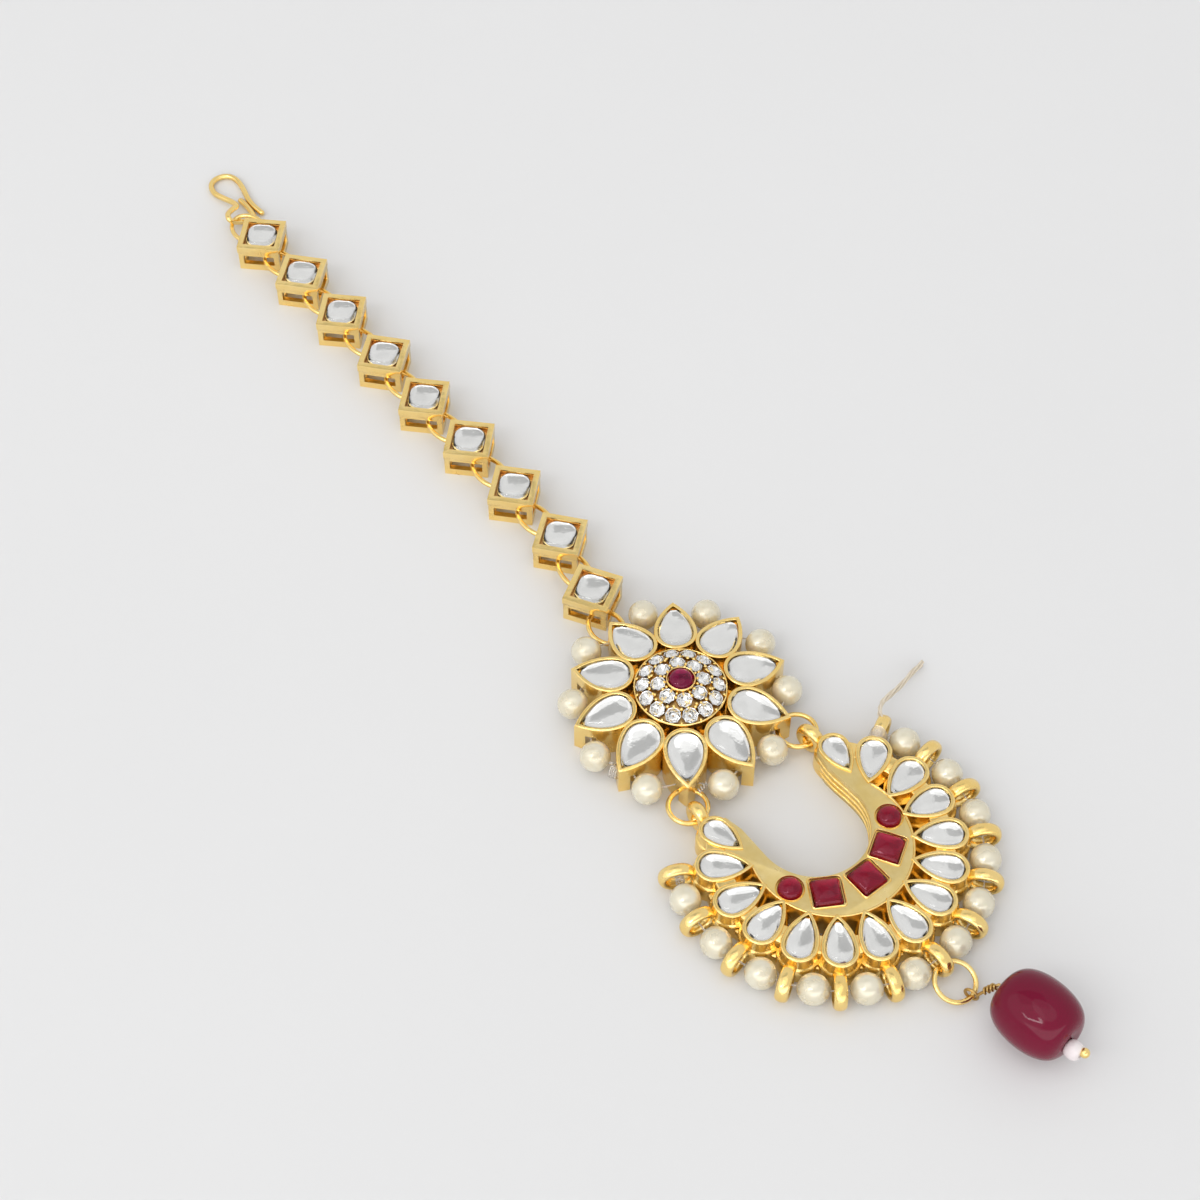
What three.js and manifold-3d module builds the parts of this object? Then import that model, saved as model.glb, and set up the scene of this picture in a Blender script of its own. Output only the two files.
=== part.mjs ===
// A hair jewel: hook, box chain, stone flower, crescent with a pearl fringe, and a bead drop.
// Sizes are in millimetres, +Z is up and z = 0 is the table that the jewel lies on.
import * as THREE from 'three';
import Module from 'manifold-3d';
import { mergeVertices } from 'three/addons/utils/BufferGeometryUtils.js';

const wasm = await Module();
wasm.setup();

// Box links of the chain, seen along the chain as diamonds.
const linkWidth = 5.37;
const linkHeight = 3.84;
const linkWall = 0.72;
const linkRim = 0.72;
const linkWindowLow = 0.95;
const linkWindowHigh = 2.32;
const linkWindowWidth = 3.95;
const linkStoneFloor = 3.2;
const linkStoneHalf = 1.7;
const linkPlaces = [
  [4.08, 88.41, -45.3], [4.27, 79.71, -49.1], [4.28, 70.97, -45.5],
  [4.23, 61.82, -49.7], [3.92, 53.02, -46.7], [4.07, 44.17, -46.5],
  [3.85, 35.05, -48.4], [3.55, 25.91, -51.5], [1.59, 17.43, -59.7],
];

// Jump rings between the links.
const ringWire = 0.29;
const ringHalfWidth = 1.93;
const ringHalfLength = 2.92;
const ringHeight = 1.57;
const ringTilt = 7.5;

// Flower.
const petalCount = 10;
const petalTip = 12.5;
const petalRimHeight = 3.93;
const petalStoneRadius = 1.98;
const petalStoneCentre = 7.75;
const petalStoneTip = 11.85;
const petalBezel = 0.47;
const petalSlope = 0.14;
const petalStoneFloor = 3.0;
const petalSlotInner = 10.55;
const petalSlotOuter = 11.55;
const petalSlotTop = 2.62;
const flowerBaseRadius = 7.2;
const flowerBaseHeight = 2.3;
const domeRadius = 5.2;
const domeRimHeight = 4.95;
const domeTopHeight = 6.15;
const crystalRadius = 0.8;
const flowerPearlRadius = 1.74;
const flowerPearlSeats = [
  [12.35, 20.2], [12.2, 54], [12.0, 89], [11.98, 122.6], [11.9, 162.4],
  [11.95, 196.8], [12.2, 236.8], [11.95, 270.4], [11.85, 306.2], [12.3, 341.2],
];
const flowerPearlHeight = 2.4;
const threadRadius = 0.15;

// Crescent, laid out about the centre of its fan of stones.
const fanY = -24.6;
const fanX = 0.1;
const fanStoneDistance = 11.7;
const fanStoneAngles = [0, 18.9, 37.7, 56.6, 76, 95, 115.2, 134.6];
const fanStoneTurns = [0, 19.5, 37.5, 56, 77, 101, 129, 168];
const fanStoneRadius = 1.5;
const fanStoneLength = 5.2;
const fanEndShare = 0.88;
const fanBezel = 0.5;
const fanHeight = 3.75;
const fanWebHeight = 3.4;
const fanFlangeHeight = 1.5;
const fanFlangeOuter = 14.0;
const bandHeight = 3.55;
const bandOuter = 8.9;
const bayRadius = 6.35;
const bayRise = 2.9;
const loopAngles = [0, 19.4, 38.5, 57.9, 77.7, 98.0, 118.2];
const loopDistance = 16.5;
const loopRadius = 1.65;
const loopHigh = 1.4;
const loopWire = 0.44;
const loopHalfWidth = 0.72;
const fringePearlRadius = 1.74;
const fringePearlDistance = 16.45;
const fringePearlAngles = [10.2, 28.7, 47.8, 67.4, 87.3, 107.9];

// Middle of the whole jewel seen from above, measured from the flower's centre.
const boxCentreX = 0.1;
const boxCentreY = 22.511;

// Colours.
const gold = { color: 0xe0a93a, roughness: 0.28, metalness: 1 };
const glass = { color: 0xd6dade, roughness: 0.08, metalness: 0.2 };
const ruby = { color: 0xa0144a, roughness: 0.12, metalness: 0 };
const pearl = { color: 0xf1ead2, roughness: 0.3, metalness: 0 };
const wine = { color: 0x8c1538, roughness: 0.18, metalness: 0 };
const bronze = { color: 0xa67c34, roughness: 0.4, metalness: 1 };

const radians = (degrees) => degrees * Math.PI / 180;

// Turns a closed geometry into a body that can be joined or cut.
function body(geometry) {
  const plain = geometry.index ? geometry.toNonIndexed() : geometry.clone();
  for (const name of Object.keys(plain.attributes)) {
    if (name !== 'position') plain.deleteAttribute(name);
  }
  const merged = mergeVertices(plain, 1e-4);
  return new wasm.Manifold(new wasm.Mesh({
    numProp: 3,
    vertProperties: new Float32Array(merged.attributes.position.array),
    triVerts: new Uint32Array(merged.index.array),
  }));
}

// Turns a body back into a geometry.
function geometryOf(solid) {
  const mesh = solid.getMesh();
  const geometry = new THREE.BufferGeometry();
  const corners = new Float32Array(mesh.vertProperties);
  geometry.setAttribute('position', new THREE.BufferAttribute(corners, 3));
  geometry.setIndex(new THREE.BufferAttribute(new Uint32Array(mesh.triVerts), 1));
  geometry.computeVertexNormals();
  return geometry;
}

function joined(bodies) {
  return bodies.reduce((sum, next) => sum.add(next));
}

function meshOf(name, geometry, look) {
  const mesh = new THREE.Mesh(geometry, new THREE.MeshStandardMaterial(look));
  mesh.name = name;
  return mesh;
}

// Straight block over an outline, between two heights.
function prism(outline, low, high) {
  const shape = new THREE.Shape(outline);
  const depth = high - low;
  const geometry = new THREE.ExtrudeGeometry(shape, { depth, bevelEnabled: false, steps: 1 });
  return geometry.translate(0, 0, low);
}

function block(width, length, low, high) {
  return new THREE.BoxGeometry(width, length, high - low).translate(0, 0, (low + high) / 2);
}

function disc(radius, low, high, sides) {
  const geometry = new THREE.CylinderGeometry(radius, radius, high - low, sides);
  return geometry.rotateX(Math.PI / 2).translate(0, 0, (low + high) / 2);
}

// Drop outline: round end about the origin, point on the +X side.
function teardrop(radius, tip, sideSteps = [0.42, 1], capSteps = 6) {
  const points = [new THREE.Vector2(tip, 0)];
  const bulge = tip * 0.52;
  for (const t of sideSteps) {
    const x = (1 - t) * (1 - t) * tip + 2 * t * (1 - t) * bulge;
    const y = 2 * t * (1 - t) * radius + t * t * radius;
    points.push(new THREE.Vector2(x, y));
  }
  for (let i = 1; i < capSteps; i += 1) {
    const a = Math.PI / 2 + i * Math.PI / capSteps;
    points.push(new THREE.Vector2(radius * Math.cos(a), radius * Math.sin(a)));
  }
  for (let i = sideSteps.length; i > 0; i -= 1) {
    points.push(new THREE.Vector2(points[i].x, -points[i].y));
  }
  return points;
}

// Square outline with rounded corners, three points to a corner.
function cushion(half, corner) {
  const points = [];
  for (let i = 0; i < 4; i += 1) {
    for (const step of [0, 45, 90]) {
      const a = radians(90 * i + step);
      const q = radians(90 * i + 45);
      const x = (half - corner) * Math.SQRT2 * Math.cos(q) + corner * Math.cos(a);
      const y = (half - corner) * Math.SQRT2 * Math.sin(q) + corner * Math.sin(a);
      points.push(new THREE.Vector2(x, y));
    }
  }
  return points;
}

function roundOutline(radius, sides) {
  const points = [];
  for (let i = 0; i < sides; i += 1) {
    const a = i * 2 * Math.PI / sides;
    points.push(new THREE.Vector2(radius * Math.cos(a), radius * Math.sin(a)));
  }
  return points;
}

// Domed stone: levels are pairs of height and share of the outline, from the bottom up.
function cabochon(outline, levels) {
  const middle = new THREE.Vector2();
  outline.forEach((p) => middle.add(p));
  middle.divideScalar(outline.length);
  const corners = [];
  for (const [height, share] of levels) {
    for (const p of outline) {
      const x = middle.x + (p.x - middle.x) * share;
      const y = middle.y + (p.y - middle.y) * share;
      corners.push(x, y, height);
    }
  }
  const n = outline.length;
  const faces = [];
  for (let level = 0; level + 1 < levels.length; level += 1) {
    for (let i = 0; i < n; i += 1) {
      const a = level * n + i;
      const b = level * n + (i + 1) % n;
      faces.push(a, b, b + n, a, b + n, a + n);
    }
  }
  const top = (levels.length - 1) * n;
  for (let i = 1; i + 1 < n; i += 1) {
    faces.push(0, i + 1, i);
    faces.push(top, top + i, top + i + 1);
  }
  const geometry = new THREE.BufferGeometry();
  geometry.setAttribute('position', new THREE.Float32BufferAttribute(corners, 3));
  geometry.setIndex(faces);
  geometry.computeVertexNormals();
  return geometry;
}

// Closed wire round an oval that lies flat about the origin.
function closedWire(halfWidth, halfLength, wire, sides, segments) {
  const corners = [];
  const faces = [];
  for (let i = 0; i < segments; i += 1) {
    const a = i * 2 * Math.PI / segments;
    const outward = new THREE.Vector2(halfLength * Math.cos(a), halfWidth * Math.sin(a)).normalize();
    for (let j = 0; j < sides; j += 1) {
      const b = j * 2 * Math.PI / sides;
      const x = halfWidth * Math.cos(a) + outward.x * wire * Math.cos(b);
      const y = halfLength * Math.sin(a) + outward.y * wire * Math.cos(b);
      corners.push(x, y, wire * Math.sin(b));
      const next = ((i + 1) % segments) * sides;
      const here = i * sides;
      const up = (j + 1) % sides;
      faces.push(here + j, next + j, next + up, here + j, next + up, here + up);
    }
  }
  const geometry = new THREE.BufferGeometry();
  geometry.setAttribute('position', new THREE.Float32BufferAttribute(corners, 3));
  geometry.setIndex(faces);
  geometry.computeVertexNormals();
  return geometry;
}

// Open wire along a smooth curve through the points.
function openWire(points, wire, sides, steps) {
  const path = new THREE.CatmullRomCurve3(points.map((p) => new THREE.Vector3(...p)), false, 'centripetal');
  const shape = new THREE.Shape(roundOutline(wire, sides));
  return new THREE.ExtrudeGeometry(shape, { steps, bevelEnabled: false, extrudePath: path });
}

// Thin thread through a row of points that lie nearly level.
function thread(points, closed) {
  const sides = 4;
  const corners = [];
  const faces = [];
  const row = points.map((p) => new THREE.Vector3(...p));
  row.forEach((here, i) => {
    const before = row[closed ? (i + row.length - 1) % row.length : Math.max(i - 1, 0)];
    const after = row[closed ? (i + 1) % row.length : Math.min(i + 1, row.length - 1)];
    const way = after.clone().sub(before).normalize();
    const across = way.clone().cross(new THREE.Vector3(0, 0, 1)).normalize();
    const up = across.clone().cross(way);
    for (let j = 0; j < sides; j += 1) {
      const a = j * 2 * Math.PI / sides;
      const corner = here.clone().addScaledVector(across, threadRadius * Math.cos(a));
      corners.push(...corner.addScaledVector(up, threadRadius * Math.sin(a)).toArray());
      const base = i * sides;
      const next = ((i + 1) % row.length) * sides;
      const k = (j + 1) % sides;
      if (closed || i + 1 < row.length) {
        faces.push(base + j, next + k, base + k, base + j, next + j, next + k);
      }
    }
  });
  if (!closed) {
    const last = (row.length - 1) * sides;
    faces.push(0, 2, 3, 0, 1, 2, last, last + 2, last + 1, last, last + 3, last + 2);
  }
  const geometry = new THREE.BufferGeometry();
  geometry.setAttribute('position', new THREE.Float32BufferAttribute(corners, 3));
  geometry.setIndex(faces);
  return body(geometry);
}

// Bead without a hole, for strings whose beads and thread are one piece.
function bead(radius) {
  return new THREE.SphereGeometry(radius, 10, 5).rotateX(Math.PI / 2);
}

// Bead with a hole along its own Y axis.
function drilledBead(radius, length, hole, fullness, sides, bands) {
  const profile = [new THREE.Vector2(hole, -length / 2 * 0.97)];
  for (let i = 1; i < bands; i += 1) {
    const a = -Math.PI / 2 + i * Math.PI / bands;
    const reach = Math.max(hole + 0.1, radius * Math.cos(a) ** fullness);
    profile.push(new THREE.Vector2(reach, length / 2 * Math.sin(a)));
  }
  profile.push(new THREE.Vector2(hole, length / 2 * 0.97));
  profile.push(profile[0].clone());
  return new THREE.LatheGeometry(profile, sides);
}

function place(mesh, x, y, z, turn) {
  mesh.position.set(x, y, z);
  mesh.rotation.z = radians(turn);
  return mesh;
}

// Chain.
function linkGeometry() {
  const half = linkWidth / 2;
  const bevel = 0.16;
  const top = cabochon([
    new THREE.Vector2(half, half), new THREE.Vector2(-half, half),
    new THREE.Vector2(-half, -half), new THREE.Vector2(half, -half),
  ], [[0, 1], [linkHeight - bevel, 1], [linkHeight, 1 - bevel / half]]);
  const inside = linkWidth - 2 * linkWall;
  const opening = linkWidth - 2 * linkRim;
  return geometryOf(body(top)
    .subtract(body(block(inside, inside, -1, linkWindowHigh)))
    .subtract(body(block(opening, opening, linkStoneFloor, linkHeight + 1)))
    .subtract(body(block(linkWidth + 1, linkWindowWidth, linkWindowLow, linkWindowHigh)))
    .subtract(body(block(linkWindowWidth, linkWidth + 1, linkWindowLow, linkWindowHigh))));
}

function linkStoneGeometry() {
  const base = linkStoneFloor + 0.04;
  const levels = [[base, 1], [base + 0.3, 1], [base + 0.65, 0.84], [base + 0.88, 0.5]];
  return cabochon(cushion(linkStoneHalf, 0.95), levels);
}

function chainPieces() {
  const pieces = [];
  linkPlaces.forEach(([x, y, turn], i) => {
    pieces.push(place(meshOf(`link_${i + 1}`, linkGeometry(), gold), x, y, 0, turn));
    pieces.push(place(meshOf(`link_stone_${i + 1}`, linkStoneGeometry(), glass), x, y, 0, turn));
  });
  for (let i = 0; i + 1 < linkPlaces.length; i += 1) {
    const [ax, ay] = linkPlaces[i];
    const [bx, by] = linkPlaces[i + 1];
    const ring = closedWire(ringHalfWidth, ringHalfLength, ringWire, 5, 10).rotateY(radians(ringTilt));
    const turn = Math.atan2(ax - bx, by - ay) * 180 / Math.PI + 180;
    pieces.push(place(meshOf(`link_ring_${i + 1}`, ring, gold), (ax + bx) / 2, (ay + by) / 2, ringHeight, turn));
  }
  return pieces;
}

// Hook.
function hookPieces() {
  const line = [
    [8.01, 94.82, 0.4], [7.91, 96.43, 0.38], [8.05, 97.99, 0.38], [8.41, 99.35, 0.38],
    [8.74, 100.65, 0.38], [8.87, 102.08, 0.38], [8.52, 103.19, 0.38], [7.65, 103.82, 0.38],
    [6.50, 103.84, 0.38], [5.59, 103.15, 0.4], [5.19, 101.72, 0.45], [5.45, 100.12, 0.65],
    [5.84, 98.5, 0.9], [5.74, 97.2, 1.2], [4.64, 96.52, 1.65], [3.52, 95.66, 2.15],
    [3.18, 94.72, 2.15], [3.93, 94.7, 1.3], [4.88, 94.94, 0.6], [5.82, 94.6, 0.38],
    [6.55, 94.61, 0.38], [6.9, 95.18, 0.38], [7.09, 96.4, 0.38], [7.16, 97.59, 0.38],
    [7.11, 98.46, 0.38],
  ];
  const hook = meshOf('hook', openWire(line, 0.37, 5, 36), gold);
  const ring = closedWire(ringHalfWidth, 3.0, ringWire, 5, 12);
  const tilt = meshOf('hook_ring', ring, gold);
  place(tilt, 4.3, 93.1, 1.42, 0);
  tilt.rotation.x = radians(-3);
  tilt.rotation.y = radians(-7);
  return [hook, tilt];
}

// Flower. The petals' rims and stones rise towards the dome.
function sloped(geometry) {
  const corners = geometry.attributes.position;
  for (let i = 0; i < corners.count; i += 1) {
    const rise = petalSlope * (petalTip - petalStoneCentre - corners.getX(i));
    if (corners.getZ(i) > 2.8) corners.setZ(i, corners.getZ(i) + rise);
  }
  return geometry;
}

function petalBody(turn) {
  const outer = teardrop(petalStoneRadius + petalBezel, petalTip - petalStoneCentre);
  const inner = teardrop(petalStoneRadius, petalStoneTip - petalStoneCentre);
  const recess = body(prism(inner, petalStoneFloor, 6));
  const slotWidth = petalSlotOuter - petalSlotInner;
  const slotX = (petalSlotInner + petalSlotOuter) / 2 - petalStoneCentre;
  const slot = block(slotWidth, 6, -1, petalSlotTop).translate(slotX, 0, 0);
  const petal = body(prism(outer, 0, petalRimHeight)).subtract(recess).subtract(body(slot));
  return body(sloped(geometryOf(petal)).translate(petalStoneCentre, 0, 0).rotateZ(turn));
}

function crystal(distance, turn, height, lean) {
  const stone = new THREE.CylinderGeometry(crystalRadius * 0.55, crystalRadius, 0.42, 8);
  stone.rotateX(Math.PI / 2).rotateZ(Math.PI / 8);
  stone.rotateY(lean).translate(distance, 0, height).rotateZ(turn);
  return body(stone);
}

function flowerGeometry() {
  const dome = new THREE.LatheGeometry([
    new THREE.Vector2(0, 1), new THREE.Vector2(domeRadius, 1),
    new THREE.Vector2(domeRadius, domeRimHeight), new THREE.Vector2(4.85, domeRimHeight),
    new THREE.Vector2(3.4, 5.75), new THREE.Vector2(1.75, domeTopHeight),
    new THREE.Vector2(0, domeTopHeight),
  ], 14).rotateX(Math.PI / 2);
  const bodies = [body(disc(flowerBaseRadius, 0, flowerBaseHeight, 20)), body(dome)];
  for (let i = 0; i < petalCount; i += 1) {
    bodies.push(petalBody(radians(90 - 36 * i)));
  }
  for (let i = 0; i < 14; i += 1) {
    bodies.push(crystal(4.2, radians(90) + i * 2 * Math.PI / 14, 5.5, 0.5));
  }
  for (let i = 0; i < 8; i += 1) {
    bodies.push(crystal(2.54, radians(14) + i * 2 * Math.PI / 8, 6.1, 0.25));
  }
  const seat = body(disc(1.66, 5, 6.5, 12)).subtract(body(disc(1.4, 6.0, 8, 12)));
  const hollow = body(disc(1.4, 6.0, 8, 12));
  return geometryOf(joined(bodies).subtract(hollow).add(seat));
}

function petalStoneGeometry() {
  const outline = teardrop(petalStoneRadius - 0.06, petalStoneTip - petalStoneCentre - 0.16);
  const base = petalStoneFloor + 0.04;
  return sloped(cabochon(outline, [[base, 1], [base + 0.6, 1], [base + 1.3, 0.6]]));
}

// Pearls between the petals, on one closed thread.
function flowerPearlGeometry() {
  const line = [];
  const beads = [];
  for (let i = 0; i < petalCount; i += 1) {
    const [distance, angle] = flowerPearlSeats[i];
    const hole = radians(90 - 36 * i);
    const seat = radians(90 - angle);
    line.push([10.74 * Math.cos(hole), 10.74 * Math.sin(hole), 2.34]);
    const [x, y] = [distance * Math.cos(seat), distance * Math.sin(seat)];
    const z = flowerPearlHeight;
    line.push([x, y, z]);
    beads.push(body(bead(flowerPearlRadius).rotateZ(seat).translate(x, y, z)));
  }
  return geometryOf(joined([...beads, thread(line, true)]));
}

function flowerPieces() {
  const pieces = [meshOf('flower_setting', flowerGeometry(), gold)];
  for (let i = 0; i < petalCount; i += 1) {
    const turn = 90 - 36 * i;
    const x = petalStoneCentre * Math.cos(radians(turn));
    const y = petalStoneCentre * Math.sin(radians(turn));
    pieces.push(place(meshOf(`petal_stone_${i + 1}`, petalStoneGeometry(), glass), x, y, 0, turn));
  }
  const rubyLevels = [[6.04, 1], [6.45, 1], [6.85, 0.8], [7.1, 0.42]];
  pieces.push(meshOf('flower_ruby', cabochon(roundOutline(1.34, 12), rubyLevels), ruby));
  pieces.push(meshOf('flower_pearls', flowerPearlGeometry(), pearl));
  const ring = closedWire(ringHalfWidth, 2.45, ringWire, 5, 10);
  pieces.push(place(meshOf('flower_ring', ring, gold), 0.36, 13.38, 1.45, -8));
  return pieces;
}

// Crescent. Places on the fan are polar: zero degrees points to -Y, plus turns to +X.
function fanPoint(distance, angle) {
  const a = radians(angle);
  return [fanX + distance * Math.sin(a), fanY - distance * Math.cos(a)];
}

function signedFan(list) {
  const both = [];
  list.forEach((value, i) => {
    if (i > 0) both.push([-value, -1, i]);
    both.push([value, 1, i]);
  });
  return both;
}

// One stone's bezel, cut for the stone, with the stone's dome joined in.
function fanCell(side, index) {
  const [x, y] = fanPoint(fanStoneDistance, side * fanStoneAngles[index]);
  const turn = radians(side * fanStoneTurns[index] + 90);
  const share = index + 1 < fanStoneAngles.length ? 1 : fanEndShare;
  const radius = fanStoneRadius * share;
  const tip = (fanStoneLength - fanStoneRadius) * share;
  const shift = fanStoneLength / 2 - tip;
  const seat = (geometry) => body(geometry.translate(shift, 0, 0).rotateZ(turn).translate(x, y, 0));
  const outline = (grow, reach) => teardrop(radius + grow, tip + reach, [0.45, 1], 5);
  return {
    bezel: seat(prism(outline(fanBezel, fanBezel * 1.1), 0, fanHeight)),
    recess: seat(prism(outline(0, 0), 3.42, 6)),
    stone: seat(cabochon(outline(-0.06, -0.1), [[3.2, 1], [4.0, 0.6]])),
  };
}

function bandBody() {
  const outline = [];
  for (let a = -112; a <= 112; a += 14) outline.push(new THREE.Vector2(...fanPoint(bandOuter, a)));
  outline.push(new THREE.Vector2(...fanPoint(11.2, 124)), new THREE.Vector2(fanX + 7.6, fanY + 9.4));
  outline.push(new THREE.Vector2(fanX + 6.6, fanY + 9.4), new THREE.Vector2(fanX + 6.2, fanY + 7.2));
  for (let i = 0; i <= 12; i += 1) {
    const a = radians(i * 15);
    const x = fanX + bayRadius * Math.cos(a);
    const y = fanY + bayRise - bayRadius * Math.sin(a);
    outline.push(new THREE.Vector2(x, y));
  }
  outline.push(new THREE.Vector2(fanX - 6.2, fanY + 7.2), new THREE.Vector2(fanX - 6.6, fanY + 9.4));
  outline.push(new THREE.Vector2(fanX - 7.6, fanY + 9.4), new THREE.Vector2(...fanPoint(11.2, -124)));
  return body(prism(outline, 0, bandHeight));
}

// Curved bar round the fan, between two distances from its centre.
function arcBar(inner, outer, reach, steps, high) {
  const outline = [];
  for (let i = -steps; i <= steps; i += 1) {
    outline.push(new THREE.Vector2(...fanPoint(outer, reach * i / steps)));
  }
  for (let i = steps; i >= -steps; i -= 1) {
    outline.push(new THREE.Vector2(...fanPoint(inner, reach * i / steps)));
  }
  return body(prism(outline, 0, high));
}

function loopBody(side, index) {
  const angle = side * loopAngles[index];
  const loop = closedWire(loopRadius, loopHigh, loopWire, 5, 8);
  loop.scale(1, 1, loopHalfWidth / loopWire).rotateX(Math.PI / 2);
  const [x, y] = fanPoint(loopDistance, angle);
  return body(loop.rotateZ(radians(angle - 90)).translate(x, y, loopHigh + loopWire));
}

// Thick upright eye on each tip of the crescent.
function bailBody(side) {
  const eye = new THREE.TorusGeometry(1.2, 0.62, 6, 8).scale(1, 1, 1.2);
  eye.rotateY(Math.PI / 2).rotateZ(radians(side * 8));
  return body(eye.translate(fanX + side * 8.05, -12.6, 1.84));
}

const rubySeats = [
  ['round', -6.92, -26.05, 0], ['square', -4.22, -28.75, -31], ['square', 0.25, -30.1, 0],
  ['square', 4.42, -28.75, 31], ['round', 7.12, -26.05, 0],
];

function rubyOutline(kind, grow) {
  if (kind === 'round') return roundOutline(1.42 + grow, 12);
  return cushion(1.68 + grow, 0.3);
}

function crescentGeometry() {
  const cells = signedFan(fanStoneAngles).map(([, side, index]) => fanCell(side, index));
  const web = arcBar(11.1, 13.1, 132, 9, fanWebHeight);
  const flange = arcBar(12, fanFlangeOuter, 126, 11, fanFlangeHeight);
  const bodies = [bandBody(), web, flange, bailBody(-1), bailBody(1)];
  cells.forEach((cell) => bodies.push(cell.bezel));
  signedFan(loopAngles).forEach(([, side, index]) => bodies.push(loopBody(side, index)));
  let metal = joined(bodies);
  cells.forEach((cell) => { metal = metal.subtract(cell.recess); });
  rubySeats.forEach(([kind, x, y, turn]) => {
    const seat = prism(rubyOutline(kind, 0), 2.7, 6).rotateZ(radians(turn)).translate(x, y, 0);
    metal = metal.subtract(body(seat));
  });
  return geometryOf(joined([metal, ...cells.map((cell) => cell.stone)]));
}

// Pearls between the loops, on one thread that ends in the last loops.
function fringeGeometry() {
  const half = loopAngles.slice(1).flatMap((angle, i) => [fringePearlAngles[i], angle]);
  const angles = [...half.map((a) => -a).reverse(), 0, ...half];
  const height = loopHigh + loopWire;
  const line = angles.map((angle) => [...fanPoint(loopDistance, angle), height]);
  const beads = line.filter((_, i) => i % 2 === 1).map(([x, y, z], i) => {
    const turn = radians(angles[2 * i + 1]);
    return body(bead(fringePearlRadius).rotateZ(turn).translate(x, y, z));
  });
  return geometryOf(joined([...beads, thread(line, false)]));
}

function crescentPieces() {
  const pieces = [meshOf('crescent_setting', crescentGeometry(), gold)];
  rubySeats.forEach(([kind, x, y, turn], i) => {
    const levels = [[2.74, 1], [3.45, 1], [4.1, 0.55]];
    const stone = cabochon(rubyOutline(kind, -0.06), levels);
    pieces.push(place(meshOf(`crescent_ruby_${i + 1}`, stone, ruby), x, y, 0, turn));
  });
  pieces.push(meshOf('crescent_pearls', fringeGeometry(), pearl));
  for (const [name, side] of [['crescent_ring_left', -1], ['crescent_ring_right', 1]]) {
    const ring = meshOf(name, closedWire(2.15, 2.15, ringWire, 5, 10), gold);
    pieces.push(place(ring, side * 7.85, -10.75, 1.5, 0));
  }
  return pieces;
}

// Drop.
function dropPieces() {
  const ring = meshOf('drop_ring', closedWire(2.2, 2.2, 0.28, 6, 14), gold);
  ring.position.set(0, -43.95, 1.3);
  ring.rotation.x = radians(15);
  const middle = new THREE.Vector3(2.58, -52.6, 4.04);
  const way = new THREE.Vector3(0.0665, -0.9941, 0.0853).normalize();
  const along = (distance) => middle.clone().addScaledVector(way, distance);
  const spin = new THREE.Quaternion().setFromUnitVectors(new THREE.Vector3(0, 1, 0), way);
  const stone = meshOf('drop_bead', drilledBead(4.0, 8.7, 0.4, 0.5, 14, 8), wine);
  stone.position.copy(middle);
  stone.quaternion.copy(spin);
  const seed = meshOf('seed_pearl', drilledBead(1.18, 1.16, 0.38, 0.6, 10, 6), pearl);
  seed.position.copy(along(4.98)).add(new THREE.Vector3(0, 0, -0.18));
  seed.quaternion.copy(spin);
  return [ring, stone, seed, meshOf('head_pin', pinGeometry(along), bronze)];
}

// Thin pin: round eye on the ring, shank through bead and pearl, ball end.
function pinGeometry(along) {
  const eye = closedWire(0.72, 0.72, 0.17, 5, 10);
  eye.rotateX(radians(90)).rotateZ(radians(-72)).translate(0.47, -45.9, 0.9);
  const shank = openWire([
    [0.66, -46.49, 1.26], [1.2, -46.9, 2.2], [1.95, -47.5, 3.3], along(-4.35).toArray(),
    along(0).toArray(), along(5.9).toArray(),
  ], 0.17, 5, 12);
  const ball = new THREE.SphereGeometry(0.54, 8, 5).translate(...along(6.13).toArray());
  return geometryOf(joined([body(eye), body(shank), body(ball)]));
}

const tikka = new THREE.Group();
tikka.name = 'maang_tikka';
const pieces = [
  ...hookPieces(), ...chainPieces(), ...flowerPieces(), ...crescentPieces(), ...dropPieces(),
];
pieces.forEach((piece) => tikka.add(piece));
tikka.position.set(-boxCentreX, -boxCentreY, 0);

export default tikka;
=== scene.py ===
# %% [markdown]
# A gold-tone hair jewel lies flat on a pale table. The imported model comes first: it gives every
# piece its place, so each visible mesh below is made round it and nothing has to be fitted.

import math

import bmesh
import bpy
import numpy as np
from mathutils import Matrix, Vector


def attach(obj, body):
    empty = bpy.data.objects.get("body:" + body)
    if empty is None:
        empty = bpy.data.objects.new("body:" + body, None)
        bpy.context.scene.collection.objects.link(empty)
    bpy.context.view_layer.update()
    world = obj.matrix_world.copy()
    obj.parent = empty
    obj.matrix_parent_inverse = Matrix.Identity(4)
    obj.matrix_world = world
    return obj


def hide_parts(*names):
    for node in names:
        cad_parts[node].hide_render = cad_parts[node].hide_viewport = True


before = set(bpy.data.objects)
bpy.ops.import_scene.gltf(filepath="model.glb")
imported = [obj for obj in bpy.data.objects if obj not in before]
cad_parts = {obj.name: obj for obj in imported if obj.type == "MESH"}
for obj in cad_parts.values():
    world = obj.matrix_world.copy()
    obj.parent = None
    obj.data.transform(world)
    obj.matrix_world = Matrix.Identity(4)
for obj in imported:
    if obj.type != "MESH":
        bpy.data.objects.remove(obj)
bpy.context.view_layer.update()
print("frame loaded:", len(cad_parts), "nodes")

# %% [markdown]
# The camera looks down at about 53 degrees from the lower left. A camera is easiest to repeat
# when it is given two points, where it stands and what it looks at, and a lens.

# %% Camera
MM = 0.001
MIDDLE = np.array([0.1, 22.511, 0.0])
CAMERA_AT = Vector((-101.40, -111.96, 221.11))
CAMERA_TO = Vector((2.925, 17.75, 0.0))
LENS = 71.96


def place(point):
    """A point in millimetres from the flower's centre, in metres in the frame."""
    return (np.asarray(point, float) - MIDDLE) * MM


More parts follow.
